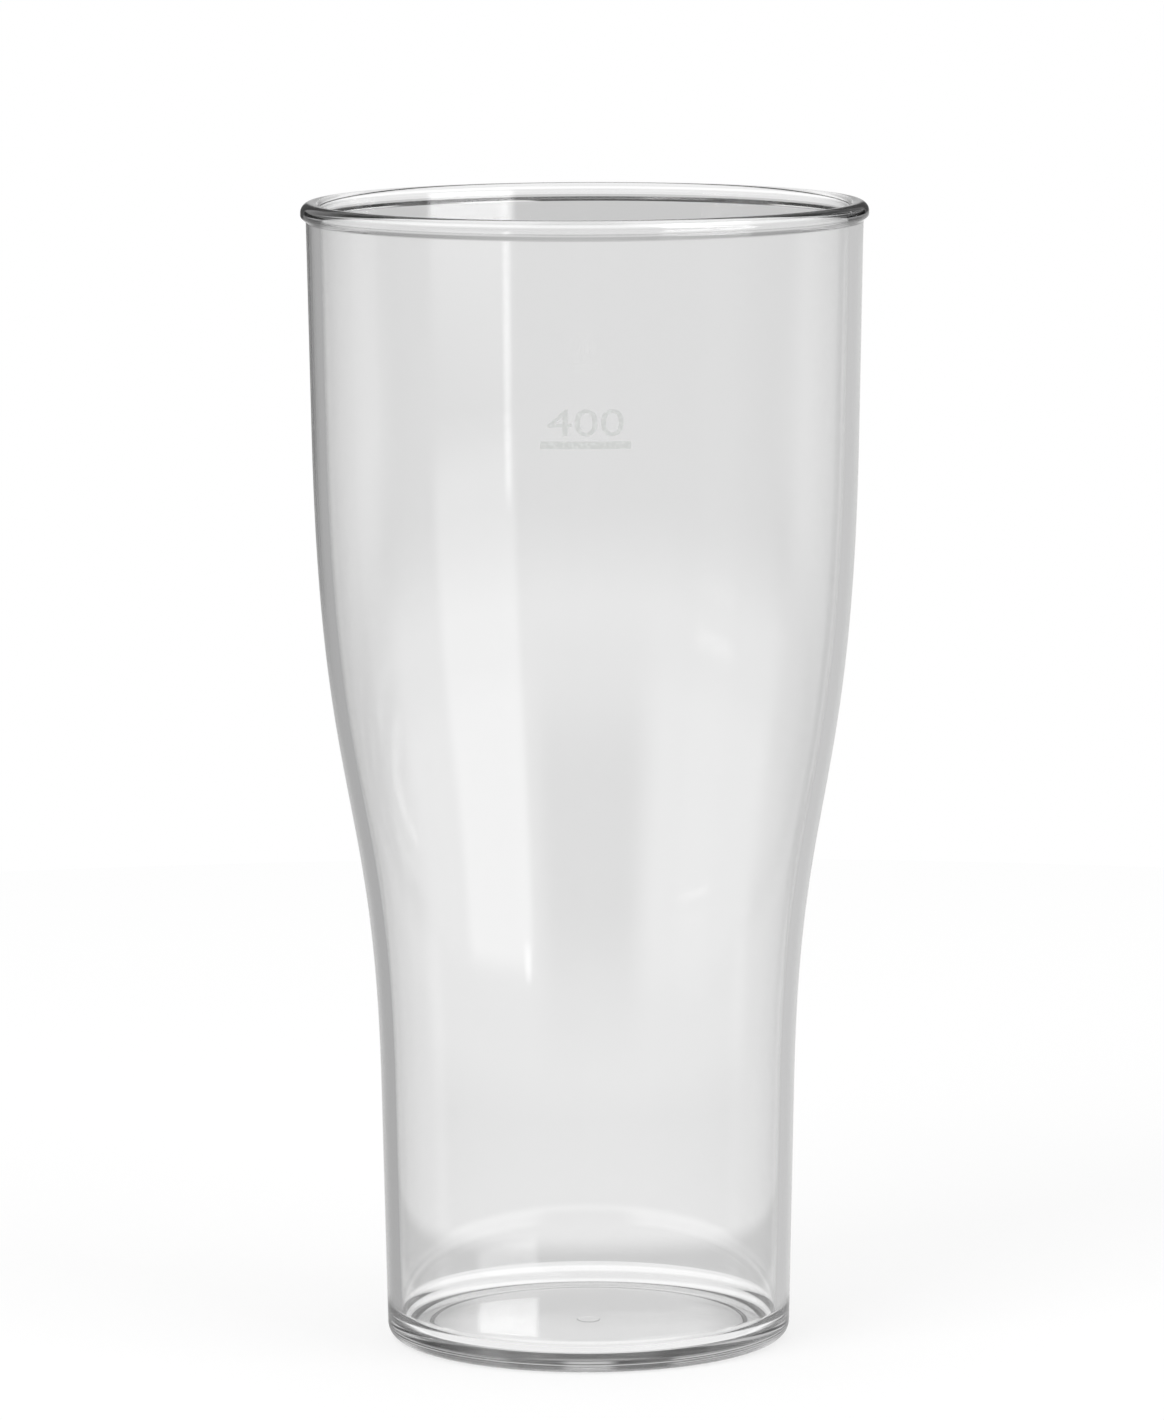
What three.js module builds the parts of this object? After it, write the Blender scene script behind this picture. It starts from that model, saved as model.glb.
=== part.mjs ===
import * as THREE from 'three';

// A clear tulip-shaped drinking tumbler, injection moulded in one piece, with a printed fill line.
// Millimetres, +Z up. The origin is the centre of the base, on the surface that the cup stands on.

// Lip: a rounded bead round the mouth
const rimDiameter = 80.3;
const lipBulge = 0.74; // how far the bead stands out from the wall under it
const lipSkirt = 1.1; // height of the bead below its widest ring
const lipCrown = 1.7; // height of the bead above its widest ring
const lipPeakInset = 1.1; // from the widest ring in to the top of the crown
const lipInnerDrop = 0.7; // how far below the widest ring the rounding of the inner edge begins

// Wall: a straight upper part, an S-curved waist and a straight lower part
const wallThickness = 2;
const upperWallHeight = 30.4;
const upperDraft = 1.1; // degrees from upright
const waistHeight = 92.6;
const waistUpperPull = 0.57; // reach of the upper wall's slope into the waist, as a share of it
const waistLowerPull = 0.46; // reach of the lower wall's slope into the waist, as a share of it
const lowerWallHeight = 37; // from the table to the waist
const lowerDraft = 1.2; // degrees from upright

// Base: a foot ring round a recessed underside, with the stub of the moulding gate at its centre
const baseDiameter = 57.7; // across the top of the rounded bottom corner
const baseCorner = 2.1;
const footWidth = 4;
const recessDepth = 0.8;
const floorThickness = 1.7;
const floorCorner = 2.6;
const gateDiameter = 3.2;
const gateHeight = 0.3;

// Fill line: a short printed stripe on the front of the wall
const fillLineDrop = 30.7; // from the top of the lip to the middle of the stripe
const fillLineLength = 12.5; // along the wall
const fillLineWidth = 1;
const inkThickness = 0.1;
const inkClearance = 0.05;

// Steps of the faceted curves
const aroundSteps = 64;
const waistSteps = 14;
const lipSkirtSteps = 4;
const lipCrownSteps = 6; // each side of its top
const cornerSteps = 5;
const stripeSteps = 8;

// Heights and radii that follow from the sizes above
const waistBottom = lowerWallHeight;
const waistTop = waistBottom + waistHeight;
const lipBottom = waistTop + upperWallHeight;
const lipWidest = lipBottom + lipSkirt;
const cupHeight = lipWidest + lipCrown;
const rimRadius = rimDiameter / 2;
const baseRadius = baseDiameter / 2;
const footOuter = baseRadius - baseCorner;
const footInner = footOuter - footWidth;
const floorTop = recessDepth + floorThickness;
const lowerSlope = THREE.MathUtils.degToRad(lowerDraft);
const upperSlope = THREE.MathUtils.degToRad(upperDraft);

// Radius of the straight lower wall at a height, on the face that lies an inset in from the outside
function lowerRadius(z, inset) {
  return baseRadius + (z - baseCorner) * Math.tan(lowerSlope) - inset / Math.cos(lowerSlope);
}

// Radius of the straight upper wall at a height, on the face that lies an inset in from the outside
function upperRadius(z, inset) {
  const radiusUnderLip = rimRadius - lipBulge;
  return radiusUnderLip + (z - lipBottom) * Math.tan(upperSlope) - inset / Math.cos(upperSlope);
}

// The S-curve of the waist, from bottom to top, leaving and joining the straight walls smoothly
function waistCurve(inset) {
  const start = new THREE.Vector2(lowerRadius(waistBottom, inset), waistBottom);
  const end = new THREE.Vector2(upperRadius(waistTop, inset), waistTop);
  const startReach = waistHeight * waistLowerPull;
  const endReach = waistHeight * waistUpperPull;
  const startPull = new THREE.Vector2(Math.tan(lowerSlope), 1).multiplyScalar(startReach).add(start);
  const endPull = new THREE.Vector2(Math.tan(upperSlope), 1).multiplyScalar(-endReach).add(end);
  return new THREE.CubicBezierCurve(start, startPull, endPull, end).getPoints(waistSteps);
}

// An elliptical arc between two angles, in radians from the outward direction
function arc(centreRadius, centreHeight, acrossRadius, uprightRadius, from, to, steps) {
  const clockwise = to < from;
  return new THREE.EllipseCurve(
    centreRadius, centreHeight, acrossRadius, uprightRadius, from, to, clockwise,
  ).getPoints(steps);
}

// The rounded corner between a flat bottom and the lower wall, from the bottom up
function bottomCorner(bottom, radius, inset) {
  const centreHeight = bottom + radius;
  const centreRadius = lowerRadius(centreHeight, inset + radius);
  return arc(centreRadius, centreHeight, radius, radius, -Math.PI / 2, -lowerSlope, cornerSteps);
}

// Outside of the cup from the foot to the lip, which the fill line also follows
const outerWall = [
  ...bottomCorner(0, baseCorner, 0),
  ...waistCurve(0),
  new THREE.Vector2(upperRadius(lipBottom, 0), lipBottom),
];

// Underside, from the axis out to the foot ring
function underside() {
  const gateRadius = gateDiameter / 2;
  return [
    new THREE.Vector2(0, recessDepth - gateHeight),
    new THREE.Vector2(gateRadius, recessDepth - gateHeight),
    new THREE.Vector2(gateRadius, recessDepth),
    ...arc(footInner - recessDepth, 0, recessDepth, recessDepth, Math.PI / 2, 0, cornerSteps),
  ];
}

// Lip, from the crease under the bead over its crown to the inside of the wall
function lip() {
  const peakRadius = rimRadius - lipPeakInset;
  const innerStart = lipWidest - lipInnerDrop;
  const innerReach = peakRadius - upperRadius(innerStart, wallThickness);
  const skirt = arc(
    rimRadius - lipBulge, lipWidest, lipBulge, lipSkirt, -Math.PI / 2, 0, lipSkirtSteps,
  );
  const outerCrown = arc(
    peakRadius, lipWidest, lipPeakInset, lipCrown, 0, Math.PI / 2, lipCrownSteps,
  );
  const innerCrown = arc(
    peakRadius, innerStart, innerReach, lipCrown + lipInnerDrop, Math.PI / 2, Math.PI, lipCrownSteps,
  );
  return [...skirt.slice(1), ...outerCrown.slice(1), ...innerCrown.slice(1)];
}

// Inside of the cup, from the wide part down to the middle of the floor
function inside() {
  return [
    ...waistCurve(wallThickness).reverse(),
    ...bottomCorner(floorTop, floorCorner, wallThickness).reverse(),
    new THREE.Vector2(0, floorTop),
  ];
}

// The moulding: one section, turned round the axis
function cupBody() {
  const section = [...underside(), ...outerWall, ...lip(), ...inside()];
  const clearPlastic = new THREE.MeshStandardMaterial({
    color: 0xe9eded, roughness: 0.06, metalness: 0, transparent: true, opacity: 0.3,
  });
  const body = new THREE.Mesh(new THREE.LatheGeometry(section, aroundSteps), clearPlastic);
  body.name = 'cup_body';
  body.rotation.x = Math.PI / 2;
  return body;
}

// Outside radius of the wall at a height
function outerRadiusAt(height) {
  const above = outerWall.findIndex((point) => point.y >= height);
  const low = outerWall[above - 1];
  const high = outerWall[above];
  return THREE.MathUtils.mapLinear(height, low.y, high.y, low.x, high.x);
}

// The printed stripe: a thin band of ink bent round the front of the wall
function fillLine() {
  const middle = cupHeight - fillLineDrop;
  const bottom = middle - fillLineWidth / 2;
  const inner = outerRadiusAt(middle + fillLineWidth / 2) + inkClearance;
  const outer = inner + inkThickness;
  const front = -Math.PI / 2;
  const halfAngle = fillLineLength / inner / 2;
  const band = new THREE.Shape();
  band.absarc(0, 0, outer, front - halfAngle, front + halfAngle, false);
  band.absarc(0, 0, inner, front + halfAngle, front - halfAngle, true);
  const greyInk = new THREE.MeshStandardMaterial({ color: 0xb9bab8, roughness: 0.5, metalness: 0 });
  const geometry = new THREE.ExtrudeGeometry(band, {
    depth: fillLineWidth, bevelEnabled: false, curveSegments: stripeSteps,
  });
  const line = new THREE.Mesh(geometry, greyInk);
  line.name = 'fill_line';
  line.position.z = bottom;
  return line;
}

const cup = new THREE.Group();
cup.name = 'tulip_tumbler';
cup.add(cupBody(), fillLine());

export default cup;
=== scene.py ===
import math

import bmesh
import bpy
from mathutils import Matrix, Vector


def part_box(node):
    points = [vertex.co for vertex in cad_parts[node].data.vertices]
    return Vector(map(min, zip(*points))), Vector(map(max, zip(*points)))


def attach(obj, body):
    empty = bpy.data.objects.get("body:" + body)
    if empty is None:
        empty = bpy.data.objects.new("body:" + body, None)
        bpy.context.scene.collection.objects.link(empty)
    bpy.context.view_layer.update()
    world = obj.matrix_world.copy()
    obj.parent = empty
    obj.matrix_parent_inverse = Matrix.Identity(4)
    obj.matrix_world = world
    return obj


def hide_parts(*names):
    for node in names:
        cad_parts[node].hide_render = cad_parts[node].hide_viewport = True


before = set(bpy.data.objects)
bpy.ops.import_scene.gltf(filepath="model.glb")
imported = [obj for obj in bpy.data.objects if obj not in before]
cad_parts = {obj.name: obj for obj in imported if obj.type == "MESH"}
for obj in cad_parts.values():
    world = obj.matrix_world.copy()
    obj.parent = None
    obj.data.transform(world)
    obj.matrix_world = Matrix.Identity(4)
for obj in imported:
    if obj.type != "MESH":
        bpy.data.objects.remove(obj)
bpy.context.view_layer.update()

mm = 0.001
bodyLow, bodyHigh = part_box("cup_body")
lineLow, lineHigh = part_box("fill_line")
print("frame loaded, cup is", round((bodyHigh.z - bodyLow.z) / mm, 1), "mm tall")


# points along an elliptical arc, angles in degrees from the outward direction
def arcPoints(centre, radii, start, end, steps):
    points = []
    for i in range(steps + 1):
        angle = math.radians(start + (end - start) * i / steps)
        points.append((centre[0] + radii[0] * math.cos(angle), centre[1] + radii[1] * math.sin(angle)))
    return points


nearShare = 0.03    # of the spacing, between the end of a straight stretch and the point beside it


# points along a straight stretch, both ends left out; one close to each end keeps the shading flat
def linePoints(start, end, spacing):
    a, b = Vector(start), Vector(end)
    length = (b - a).length
    near = spacing * nearShare
    if length < near * 4:
        return []
    count = math.ceil(length / spacing)
    shares = [near / length] + [i / count for i in range(1, count)] + [1 - near / length]
    return [tuple(a.lerp(b, share)) for share in shares]


# a section drawn as corners (radius, height, fillet), with every fillet rounded and long stretches divided
def filletedSection(corners, spacing, steps):
    points = [corners[0][:2]]
    for before, corner, after in zip(corners, corners[1:], corners[2:]):
        here = Vector(corner[:2])
        back = (Vector(before[:2]) - here).normalized()
        on = (Vector(after[:2]) - here).normalized()
        half = back.angle(on) / 2
        start = here + back * corner[2] / math.tan(half)
        end = here + on * corner[2] / math.tan(half)
        points += linePoints(points[-1], start, spacing)
        if corner[2] == 0:
            points.append(tuple(here))
            continue
        middle = here + (back + on).normalized() * corner[2] / math.sin(half)
        sweep = (start - middle).angle_signed(end - middle)
        for i in range(steps + 1):
            turned = Matrix.Rotation(-sweep * i / steps, 2) @ (start - middle)
            points.append(tuple(middle + turned))
    points += linePoints(points[-1], corners[-1][:2], spacing)
    points.append(corners[-1][:2])
    return points


# turns a section that starts and ends on the axis into a closed round mesh
def turnSection(name, section, steps):
    bm = bmesh.new()
    rings = []
    for radius, height in section:
        if radius < 1e-7:
            rings.append([bm.verts.new((0, 0, height))])
            continue
        angles = [2 * math.pi * i / steps for i in range(steps)]
        rings.append([bm.verts.new((radius * math.sin(a), -radius * math.cos(a), height)) for a in angles])
    for low, high in zip(rings, rings[1:]):
        for i in range(steps):
            j = (i + 1) % steps
            face = [low[i % len(low)], low[j % len(low)], high[j % len(high)], high[i % len(high)]]
            bm.faces.new(list(dict.fromkeys(face)))
    bmesh.ops.recalc_face_normals(bm, faces=bm.faces)
    mesh = bpy.data.meshes.new(name)
    bm.to_mesh(mesh)
    bm.free()
    mesh.shade_smooth()
    piece = bpy.data.objects.new(name, mesh)
    bpy.context.scene.collection.objects.link(piece)
    return piece


# one node with its sockets set or linked, given by name or number
def addNode(tree, kind, settings=None, **options):
    node = tree.nodes.new(kind)
    for key, value in options.items():
        setattr(node, key, value)
    for key, value in (settings or {}).items():
        if isinstance(value, bpy.types.NodeSocket):
            tree.links.new(value, node.inputs[key])
        else:
            node.inputs[key].default_value = value
    return node


def mathNode(tree, operation, a, b=0.0):
    return addNode(tree, "ShaderNodeMath", {0: a, 1: b}, operation=operation).outputs[0]


def newMaterial(name):
    material = bpy.data.materials.new(name)
    material.use_nodes = True
    material.node_tree.nodes.clear()
    return material, material.node_tree


# the moulded cup

cup = {
    "lipBulge": 0.77 * mm,       # bead beyond the wall under it
    "lipSkirt": 1.32 * mm,       # bead below its widest ring
    "lipUnder": 43.0,            # slope of its underside, degrees
    "lipNose": 0.5 * mm,         # rounding between underside and widest ring
    "lipCrown": 1.43 * mm,       # bead above its widest ring
    "lipPeakInset": 1.52 * mm,   # from the widest ring in to the top
    "lipInnerRise": 0.42 * mm,   # start of the inner rounding above the widest ring
    "lipCrease": 0.1 * mm,       # fillet where bead meets wall
    "wall": 2.0 * mm,
    "upperWallHeight": 30.52 * mm,
    "upperDraft": 1.1,           # degrees
    "waistHeight": 92.6 * mm,
    "waistUpperPull": 0.57,
    "waistLowerPull": 0.46,
    "lowerWallHeight": 37.0 * mm,
    "lowerDraft": 1.2,           # degrees
    "baseDiameter": 57.7 * mm,
    "baseCorner": 2.1 * mm,
    "footWidth": 4.0 * mm,
    "recessRun": 0.5 * mm,       # from the foot ring in to the full depth of the recess
    "recessRound": 0.6 * mm,
    "recessDepth": 0.3 * mm,
    "floorThickness": 2.2 * mm,
    "floorCorner": 2.6 * mm,
    "gateDiameter": 3.2 * mm,
    "gateHeight": 0.2 * mm,
    "gateEdge": 0.08 * mm,
    "spacing": 2.0 * mm,
    "around": 192,
    "filletSteps": 8,
    "waistSteps": 48,
    "lipSteps": 16,
}

rimRadius = (bodyHigh.x - bodyLow.x) / 2
baseRadius = cup["baseDiameter"] / 2
waistBottom = cup["lowerWallHeight"]
waistTop = waistBottom + cup["waistHeight"]
lipBottom = waistTop + cup["upperWallHeight"]
lipWidest = lipBottom + cup["lipSkirt"]
lowerSlope = math.tan(math.radians(cup["lowerDraft"]))
upperSlope = math.tan(math.radians(cup["upperDraft"]))


def lowerRadius(height, inset=0.0):
    return baseRadius + (height - cup["baseCorner"]) * lowerSlope - inset * math.hypot(1, lowerSlope)


def upperRadius(height, inset=0.0):
    underLip = rimRadius - cup["lipBulge"]
    return underLip + (height - lipBottom) * upperSlope - inset * math.hypot(1, upperSlope)


# S-curve between the straight walls, as a cubic that leaves and meets them smoothly
def waistPoints(inset):
    lowPull = cup["waistHeight"] * cup["waistLowerPull"]
    highPull = cup["waistHeight"] * cup["waistUpperPull"]
    p0 = Vector((lowerRadius(waistBottom, inset), waistBottom))
    p3 = Vector((upperRadius(waistTop, inset), waistTop))
    p1 = p0 + Vector((lowerSlope, 1)) * lowPull
    p2 = p3 - Vector((upperSlope, 1)) * highPull
    points = []
    for i in range(cup["waistSteps"] + 1):
        t = i / cup["waistSteps"]
        s = 1 - t
        points.append(tuple(s**3 * p0 + 3 * s * s * t * p1 + 3 * s * t * t * p2 + t**3 * p3))
    return points


def cupSection():
    floorTop = cup["recessDepth"] + cup["floorThickness"]
    footInner = baseRadius - cup["baseCorner"] - cup["footWidth"]
    gateRadius = cup["gateDiameter"] / 2
    gateEnd = cup["recessDepth"] - cup["gateHeight"]
    spacing, steps = cup["spacing"], cup["filletSteps"]
    base = filletedSection([
        (0, gateEnd, 0),
        (gateRadius, gateEnd, cup["gateEdge"]),
        (gateRadius, cup["recessDepth"], cup["gateEdge"]),
        (footInner - cup["recessRun"], cup["recessDepth"], cup["recessRound"]),
        (footInner, 0, cup["recessRound"]),
        (lowerRadius(0), 0, cup["baseCorner"]),
        (lowerRadius(waistBottom), waistBottom, 0),
    ], spacing, steps)
    waist = waistPoints(0)
    underRise = cup["lipBulge"] * math.tan(math.radians(cup["lipUnder"]))
    bead = filletedSection([
        waist[-1] + (0,),
        (upperRadius(lipBottom), lipBottom, cup["lipCrease"]),
        (rimRadius, lipBottom + underRise, cup["lipNose"]),
        (rimRadius, lipWidest, 0),
    ], spacing, steps)
    peak = rimRadius - cup["lipPeakInset"]
    innerStart = lipWidest + cup["lipInnerRise"]
    innerReach = peak - upperRadius(innerStart, cup["wall"])
    crownRise = cup["lipCrown"] - cup["lipInnerRise"]
    crown = arcPoints((peak, lipWidest), (cup["lipPeakInset"], cup["lipCrown"]), 0, 90, cup["lipSteps"])
    crown += arcPoints((peak, innerStart), (innerReach, crownRise), 90, 180, cup["lipSteps"])[1:]
    innerWaist = waistPoints(cup["wall"])[::-1]
    innerBase = filletedSection([
        innerWaist[-1] + (0,),
        (lowerRadius(floorTop, cup["wall"]), floorTop, cup["floorCorner"]),
        (0, floorTop, 0),
    ], spacing, steps)
    innerTop = linePoints(crown[-1], innerWaist[0], spacing)
    return base[:-1] + waist + bead[1:] + crown[1:] + innerTop + innerWaist + innerBase[1:]


cupBody = turnSection("cup", cupSection(), cup["around"])
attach(cupBody, "root")
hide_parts("cup_body")
print("cup turned,", len(cupBody.data.polygons), "faces")


# clear moulded plastic

plastic = {
    "ior": 1.585,
    "tint": (0.985, 0.985, 0.985, 1),
    "absorbColour": (0.9, 0.9, 0.9, 1),
    "absorbDensity": 30.0,       # per metre
    "polish": (0.0, 0.03),       # roughness of clean wall and of scuffs
    "flowScale": 55.0,           # slow ripples of the moulding
    "flowDepth": 0.004 * mm,
    "scuffScale": 240.0,
    "scuffStretch": (1, 1, 0.12),    # scuffs run up and down
    "scuffRange": (0.56, 0.75),  # noise values of clean wall and of full scuffs
}


def clearPlastic():
    material, tree = newMaterial("clear_plastic")
    place = addNode(tree, "ShaderNodeTexCoord").outputs["Object"]
    flow = addNode(tree, "ShaderNodeTexNoise", {
        "Vector": place, "Scale": plastic["flowScale"], "Detail": 1.0,
    }).outputs["Fac"]
    stretched = addNode(tree, "ShaderNodeMapping", {
        "Vector": place, "Scale": plastic["scuffStretch"],
    }).outputs[0]
    scuffs = addNode(tree, "ShaderNodeTexNoise", {
        "Vector": stretched, "Scale": plastic["scuffScale"], "Detail": 5.0, "Roughness": 0.6,
    }).outputs["Fac"]
    scuffed = addNode(tree, "ShaderNodeMapRange", {
        "Value": scuffs, "From Min": plastic["scuffRange"][0], "From Max": plastic["scuffRange"][1],
        "To Min": plastic["polish"][0], "To Max": plastic["polish"][1],
    }).outputs["Result"]
    ripple = addNode(tree, "ShaderNodeBump", {
        "Height": flow, "Strength": 1.0, "Distance": plastic["flowDepth"],
    }).outputs["Normal"]
    shader = addNode(tree, "ShaderNodeBsdfPrincipled", {
        "Base Color": plastic["tint"], "Roughness": scuffed, "IOR": plastic["ior"],
        "Transmission Weight": 1.0, "Normal": ripple,
    })
    inside = addNode(tree, "ShaderNodeVolumeAbsorption", {
        "Color": plastic["absorbColour"], "Density": plastic["absorbDensity"],
    })
    addNode(tree, "ShaderNodeOutputMaterial", {
        "Surface": shader.outputs[0], "Volume": inside.outputs[0],
    })
    return material


cupBody.data.materials.append(clearPlastic())
print("plastic done")


# the printed fill mark: the stripe and a plain figure above it

mark = {
    "figure": "400",             # millilitres up to the stripe
    "figureHeight": 3.7 * mm,
    "figureGap": 0.75 * mm,      # between stripe and figure
    "figureWidth": 10.5 * mm,
    "lift": 0.02 * mm,           # clear of the wall
    "ink": 0.05 * mm,            # thickness
    "slice": 0.4 * mm,           # so that it bends with the wall
    "weld": 0.001 * mm,          # points closer than this are one
    "cutReach": 0.002 * mm,      # points this close to a cut are on it
    "colour": (0.55, 0.56, 0.55, 1),
    "wornColour": (0.64, 0.65, 0.64, 1),
    "roughness": 0.5,
    "speckScale": 2500.0,
    "speckRange": (0.45, 0.7),   # noise values of full ink and of worn ink
    "grainStrength": 0.4,
    "grainDepth": 0.01 * mm,
}


# outside radius of the straight upper wall or of the waist at a height
def outsideRadius(height):
    if height >= waistTop:
        return upperRadius(height)
    points = waistPoints(0)
    for (r0, z0), (r1, z1) in zip(points, points[1:]):
        if z0 <= height <= z1:
            return r0 + (r1 - r0) * (height - z0) / (z1 - z0)
    return lowerRadius(height)


# wraps a flat print, x along the wall, y up and z out of it, onto the front of the cup
def wrapOnWall(name, bm, bottom):
    bmesh.ops.remove_doubles(bm, verts=bm.verts, dist=mark["weld"])
    reach = max(abs(v.co.x) for v in bm.verts)
    cuts = int(reach / mark["slice"])
    for i in range(-cuts, cuts + 1):
        everything = bm.verts[:] + bm.edges[:] + bm.faces[:]
        place = (i * mark["slice"], 0, 0)
        bmesh.ops.bisect_plane(
            bm, geom=everything, plane_co=place, plane_no=(1, 0, 0), dist=mark["cutReach"]
        )
    for v in bm.verts:
        height = bottom + v.co.y
        radius = outsideRadius(height) + mark["lift"] + v.co.z
        angle = v.co.x / radius
        v.co = (radius * math.sin(angle), -radius * math.cos(angle), height)
    bmesh.ops.recalc_face_normals(bm, faces=bm.faces)
    mesh = bpy.data.meshes.new(name)
    bm.to_mesh(mesh)
    bm.free()
    piece = bpy.data.objects.new(name, mesh)
    bpy.context.scene.collection.objects.link(piece)
    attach(piece, "root")
    return piece


def fillStripe():
    width, height = lineHigh.x - lineLow.x, lineHigh.z - lineLow.z
    bm = bmesh.new()
    bmesh.ops.create_cube(bm, size=1)
    for v in bm.verts:
        v.co = (v.co.x * width, (v.co.y + 0.5) * height, (v.co.z + 0.5) * mark["ink"])
    stripe = wrapOnWall("fill_stripe", bm, lineLow.z)
    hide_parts("fill_line")
    return stripe


def fillFigure():
    letters = bpy.data.curves.new("figure", "FONT")
    letters.body = mark["figure"]
    letters.size = mark["figureHeight"]
    letters.align_x = "CENTER"
    letters.extrude = mark["ink"] / 2
    letters.resolution_u = 6
    typed = bpy.data.objects.new("figure", letters)
    bpy.context.scene.collection.objects.link(typed)
    flat = bpy.data.meshes.new_from_object(typed.evaluated_get(bpy.context.evaluated_depsgraph_get()))
    bpy.data.objects.remove(typed)
    bm = bmesh.new()
    bm.from_mesh(flat)
    bpy.data.meshes.remove(flat)
    low = Vector([min(v.co[i] for v in bm.verts) for i in range(3)])
    high = Vector([max(v.co[i] for v in bm.verts) for i in range(3)])
    size = high - low
    for v in bm.verts:
        v.co.x = (v.co.x - (low.x + high.x) / 2) * mark["figureWidth"] / size.x
        v.co.y = (v.co.y - low.y) * mark["figureHeight"] / size.y
        v.co.z = v.co.z - low.z
    return wrapOnWall("fill_figure", bm, lineHigh.z + mark["figureGap"])


def markInk():
    material, tree = newMaterial("mark_ink")
    place = addNode(tree, "ShaderNodeTexCoord").outputs["Object"]
    specks = addNode(tree, "ShaderNodeTexNoise", {
        "Vector": place, "Scale": mark["speckScale"], "Detail": 3.0,
    }).outputs["Fac"]
    ramp = addNode(tree, "ShaderNodeValToRGB", {"Fac": specks})
    ramp.color_ramp.elements[0].position = mark["speckRange"][0]
    ramp.color_ramp.elements[0].color = mark["colour"]
    ramp.color_ramp.elements[1].position = mark["speckRange"][1]
    ramp.color_ramp.elements[1].color = mark["wornColour"]
    grain = addNode(tree, "ShaderNodeBump", {
        "Height": specks, "Strength": mark["grainStrength"], "Distance": mark["grainDepth"],
    }).outputs["Normal"]
    shader = addNode(tree, "ShaderNodeBsdfPrincipled", {
        "Base Color": ramp.outputs["Color"], "Roughness": mark["roughness"], "Normal": grain,
    })
    addNode(tree, "ShaderNodeOutputMaterial", {"Surface": shader.outputs[0]})
    return material


inkMaterial = markInk()
for piece in (fillStripe(), fillFigure()):
    piece.data.materials.append(inkMaterial)
print("fill mark printed")


# the studio: a white table, a pale surround and soft boxes that show in the gloss

studio = {
    "tableRadius": 0.45,
    "tableShade": 0.25,          # share of the table's white that takes shadow
    "tableWhite": 0.9,           # what it throws back onto the matt surfaces
    "surround": 0.72,            # light on matt surfaces
    "base": 0.7,                 # what the plastic shows where no box below is
    "bounces": 256,              # so that light can run round inside the wall
}

# what the plastic shows, each painted over the ones before it
# middle and reach: degrees round the cup, from the camera to the right; elevation and edge: degrees
# shown only where light was never reflected (straight), reflected (mirrored) or reflected twice (folded)
# on its way, or crossed no more than one wall (open)
softBoxes = [
    {"name": "ceiling", "elevation": (36, 90), "edge": (0, 6), "level": 0.06},
    {"name": "back ceiling", "middle": 180, "reach": 85, "elevation": (44, 78), "edge": (8, 5), "level": 0.6},
    {"name": "upper wall", "elevation": (-90, 42), "edge": (0, 4), "level": 0.3},
    {"name": "wall", "elevation": (-90, 28), "edge": (0, 6), "level": 0.65},
    {"name": "table", "elevation": (-90, -4.25), "edge": (0, 0.1), "level": 0.91},
    {"name": "near table", "elevation": (-90, -14), "edge": (0, 3), "level": 0.92},
    {"name": "table by the cup", "elevation": (-90, -19), "edge": (0, 2), "level": 1.12},
    {"name": "table under the cup", "elevation": (-90, -31), "edge": (0, 3), "level": 0.92},
    {"name": "shade behind the cup", "middle": 180, "reach": 80, "elevation": (-12, -11.5), "edge": (10, 0.1),
     "level": 0.66, "straight": True},
    {"name": "left flag", "middle": -134, "reach": 37, "elevation": (-22, 5), "edge": (5, 5), "level": 0.42,
     "mirrored": True},
    {"name": "right flag", "middle": 134, "reach": 37, "elevation": (-22, 5), "edge": (5, 5), "level": 0.58,
     "mirrored": True},
    {"name": "left black", "middle": -128, "reach": 33, "elevation": (-3, 6), "edge": (4, 1.5), "level": 0.03,
     "mirrored": True},
    {"name": "right black", "middle": 128, "reach": 33, "elevation": (-3, 6), "edge": (4, 1.5), "level": 0.03,
     "mirrored": True},
    {"name": "left far black", "middle": -168, "reach": 7, "elevation": (-8, 23), "edge": (2, 3),
     "level": 0.12, "mirrored": True},
    {"name": "right far black", "middle": 168, "reach": 7, "elevation": (-3, 23), "edge": (2, 2),
     "level": 0.12, "mirrored": True},
    {"name": "right curtain", "middle": 145, "reach": 18, "elevation": (7, 30), "edge": (4, 2), "level": 0.3,
     "mirrored": True},
    {"name": "dark room", "middle": 0, "reach": 100, "elevation": (-12, 40), "edge": (6, 3), "level": 0.1,
     "mirrored": True},
    {"name": "camera", "middle": 2, "reach": 27, "elevation": (-50, -20), "edge": (10, 8), "level": 0.1,
     "mirrored": True},
    {"name": "dark floor", "middle": 0, "reach": 100, "elevation": (-50, -20), "edge": (6, 2), "level": 0.1,
     "folded": True},
    {"name": "soft box", "middle": 53, "reach": 20.5, "elevation": (-3, 80), "edge": (2.5, 1.2),
     "level": 1.0},
    {"name": "soft box edge", "middle": 35.5, "reach": 1.5, "elevation": (-3.6, -1.2), "edge": (0.8, 0.8),
     "level": 2.6},
    {"name": "soft box face", "middle": 53, "reach": 20.5, "elevation": (-3, 3), "edge": (2.5, 0.8),
     "level": 5.5, "open": True},
    {"name": "soft box in the wall", "middle": 53, "reach": 20.5, "elevation": (8.5, 10.3),
     "edge": (2.5, 0.6), "level": 2.5, "folded": True},
    {"name": "soft box in the floor", "middle": 53, "reach": 20.5, "elevation": (13.4, 15.2),
     "edge": (2.5, 0.6), "level": 6.0, "folded": True},
]


# 0 below an edge and 1 above it, or the other way round
def softStep(tree, value, middle, edge, rising=True):
    low, high = (0.0, 1.0) if rising else (1.0, 0.0)
    return addNode(tree, "ShaderNodeMapRange", {
        "Value": value, "From Min": middle - edge, "From Max": middle + edge, "To Min": low, "To Max": high,
    }, interpolation_type="SMOOTHSTEP").outputs["Result"]


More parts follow.
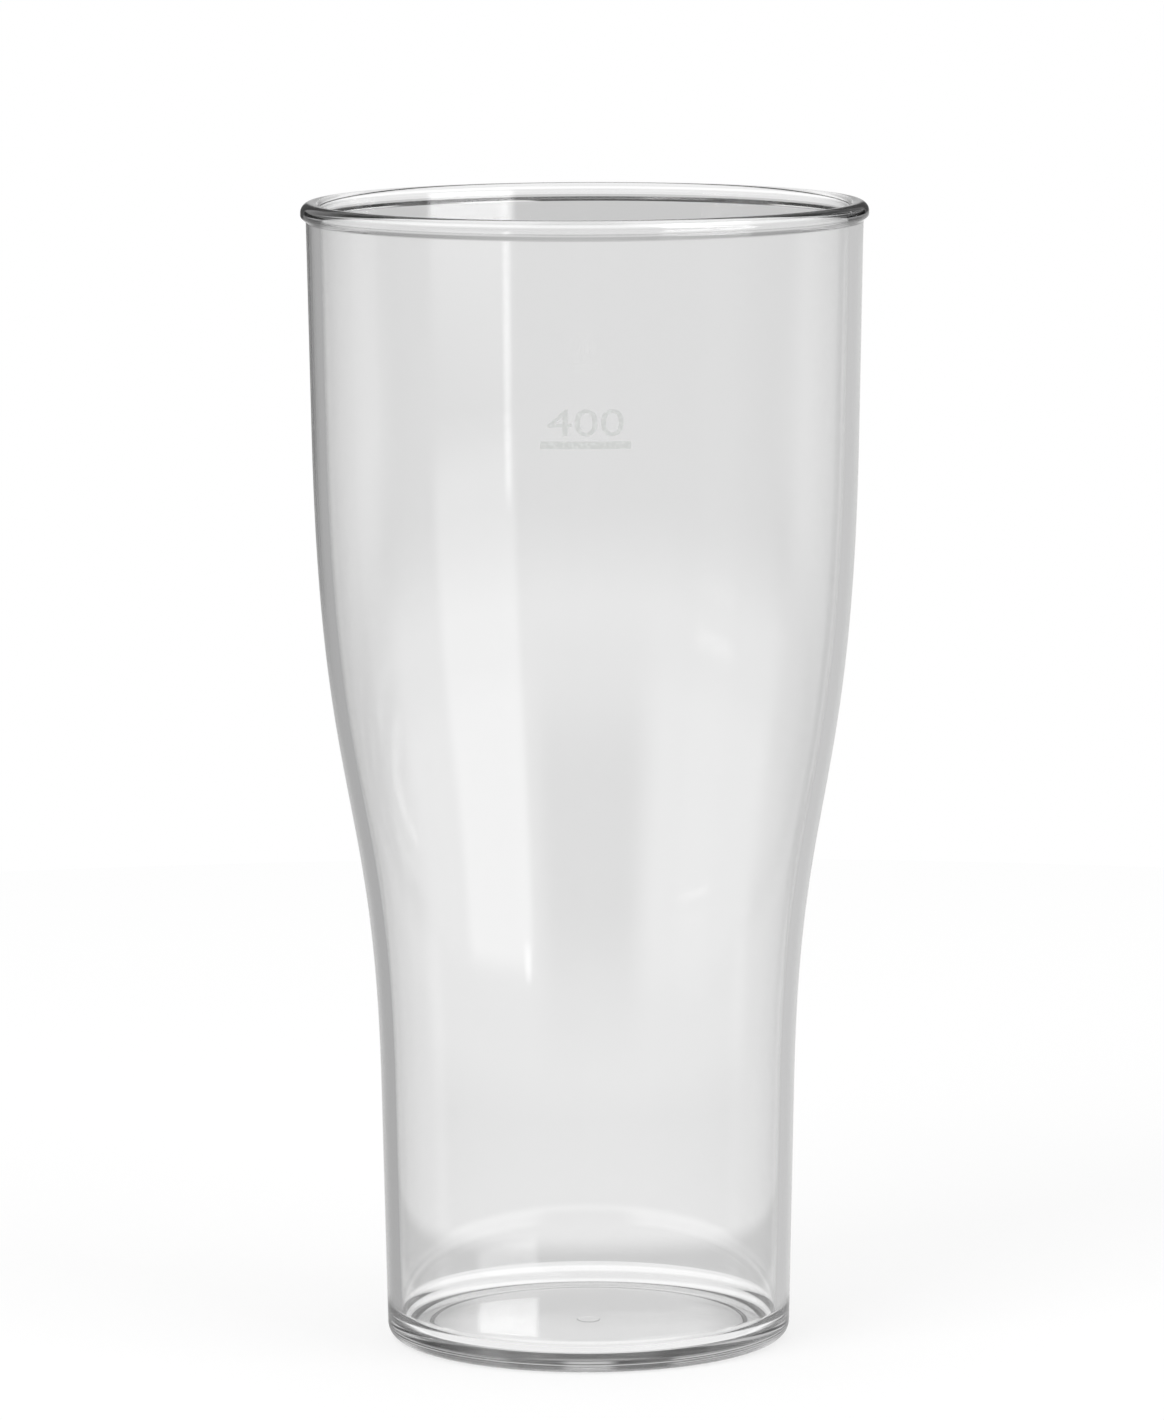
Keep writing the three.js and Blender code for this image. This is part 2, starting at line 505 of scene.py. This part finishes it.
# share of one soft box in a direction
def boxShare(tree, box, azimuth, elevation, only):
    low, high = box["elevation"]
    across, upright = box["edge"]
    shares = []
    if low > -90:
        shares.append(softStep(tree, elevation, low, upright))
    if high < 90:
        shares.append(softStep(tree, elevation, high, upright, rising=False))
    if "reach" in box:
        turned = mathNode(tree, "SUBTRACT", azimuth, box["middle"])
        halfTurn = {0: turned, 1: 180.0, 2: -180.0}
        wrapped = addNode(tree, "ShaderNodeMath", halfTurn, operation="WRAP").outputs[0]
        away = mathNode(tree, "ABSOLUTE", wrapped)
        shares.append(softStep(tree, away, box["reach"], across, rising=False))
    shares += [share for kind, share in only.items() if box.get(kind)]
    total = shares[0]
    for share in shares[1:]:
        total = mathNode(tree, "MULTIPLY", total, share)
    return total


def mixValues(tree, share, a, b):
    return addNode(tree, "ShaderNodeMix", {0: share, 2: a, 3: b}).outputs[0]


def studioWorld():
    world = bpy.data.worlds.new("studio")
    bpy.context.scene.world = world
    world.use_nodes = True
    tree = world.node_tree
    tree.nodes.clear()
    way = addNode(tree, "ShaderNodeTexCoord").outputs["Generated"]
    axes = addNode(tree, "ShaderNodeSeparateXYZ", {0: way}).outputs
    towards = mathNode(tree, "MULTIPLY", axes["Y"], -1.0)
    azimuth = mathNode(tree, "DEGREES", mathNode(tree, "ARCTAN2", axes["X"], towards))
    elevation = mathNode(tree, "DEGREES", mathNode(tree, "ARCSINE", axes["Z"]))
    path = addNode(tree, "ShaderNodeLightPath").outputs
    only = {
        "straight": mathNode(tree, "LESS_THAN", path["Glossy Depth"], 0.5),
        "mirrored": mathNode(tree, "GREATER_THAN", path["Glossy Depth"], 0.5),
        "folded": mathNode(tree, "GREATER_THAN", path["Glossy Depth"], 1.5),
        "open": mathNode(tree, "LESS_THAN", path["Transmission Depth"], 2.5),
    }
    shown = studio["base"]
    for box in softBoxes:
        shown = mixValues(tree, boxShare(tree, box, azimuth, elevation, only), shown, box["level"])
    clear = mathNode(tree, "MAXIMUM", path["Is Glossy Ray"], path["Is Transmission Ray"])
    level = mixValues(tree, clear, studio["surround"], shown)
    level = mixValues(tree, path["Is Camera Ray"], level, 1.0)
    sky = addNode(tree, "ShaderNodeBackground", {"Color": (1, 1, 1, 1), "Strength": level})
    addNode(tree, "ShaderNodeOutputWorld", {"Surface": sky.outputs[0]})


def whiteTable():
    bm = bmesh.new()
    bmesh.ops.create_circle(bm, cap_ends=True, radius=studio["tableRadius"], segments=96)
    mesh = bpy.data.meshes.new("table")
    bm.to_mesh(mesh)
    bm.free()
    table = bpy.data.objects.new("table", mesh)
    table.location.z = bodyLow.z
    bpy.context.scene.collection.objects.link(table)
    material, tree = newMaterial("table_white")
    path = addNode(tree, "ShaderNodeLightPath").outputs
    shade = mixValues(tree, path["Is Camera Ray"], studio["tableWhite"], studio["tableShade"])
    glow = mixValues(tree, path["Is Camera Ray"], 0.0, 1 - studio["tableShade"])
    colour = addNode(tree, "ShaderNodeCombineColor", {0: shade, 1: shade, 2: shade}).outputs[0]
    matt = addNode(tree, "ShaderNodeBsdfDiffuse", {"Color": colour})
    lit = addNode(tree, "ShaderNodeEmission", {"Strength": glow})
    both = addNode(tree, "ShaderNodeAddShader", {0: matt.outputs[0], 1: lit.outputs[0]})
    addNode(tree, "ShaderNodeOutputMaterial", {"Surface": both.outputs[0]})
    mesh.materials.append(material)
    table.visible_glossy = False     # the plastic shows the studio's own table instead
    table.visible_transmission = False


# soft lamps for the matt surfaces and the shadow
lamps = [
    {"name": "key", "place": (-0.7, -0.9, 1.1), "size": 0.8, "power": 9.0},
    {"name": "fill", "place": (0.9, -0.6, 0.9), "size": 0.9, "power": 5.0},
]


def softLamps():
    aim = Vector((0, 0, (bodyLow.z + bodyHigh.z) / 2))
    for lamp in lamps:
        light = bpy.data.lights.new(lamp["name"], "AREA")
        light.size = lamp["size"]
        light.energy = lamp["power"]
        holder = bpy.data.objects.new(lamp["name"], light)
        holder.location = lamp["place"]
        holder.rotation_euler = (aim - Vector(lamp["place"])).to_track_quat("-Z", "Y").to_euler()
        holder.visible_camera = False
        holder.visible_glossy = False
        holder.visible_transmission = False
        bpy.context.scene.collection.objects.link(holder)


studioWorld()
whiteTable()
softLamps()
print("studio lit")


# the camera, where the photograph was taken from

camera = {
    "distance": 1.1314,          # from the cup's axis
    "height": 0.2425,
    "pitch": 7.66,               # degrees down
    "roll": -0.21,               # degrees
    "focalPixels": 8019.0,
    "framePixels": (1164, 1420),
    "axisPixel": 586.5,          # column of the cup's axis at mid-height
}


def photoCamera():
    width, height = camera["framePixels"]
    lens = bpy.data.cameras.new("camera")
    lens.sensor_width = 36.0
    lens.lens = lens.sensor_width * camera["focalPixels"] / max(width, height)
    lens.clip_start = 0.05
    holder = bpy.data.objects.new("camera", lens)
    aside = (width / 2 - camera["axisPixel"]) / camera["focalPixels"] * camera["distance"]
    holder.location = (aside, -camera["distance"], bodyLow.z + camera["height"])
    tilt = Matrix.Rotation(math.radians(90 - camera["pitch"]), 4, "X")
    holder.rotation_euler = (tilt @ Matrix.Rotation(math.radians(camera["roll"]), 4, "Z")).to_euler()
    bpy.context.scene.collection.objects.link(holder)
    bpy.context.scene.camera = holder


photoCamera()

scene = bpy.context.scene
scene.view_settings.view_transform = "Standard"
scene.cycles.max_bounces = studio["bounces"]
scene.cycles.transmission_bounces = studio["bounces"]
scene.cycles.glossy_bounces = studio["bounces"]
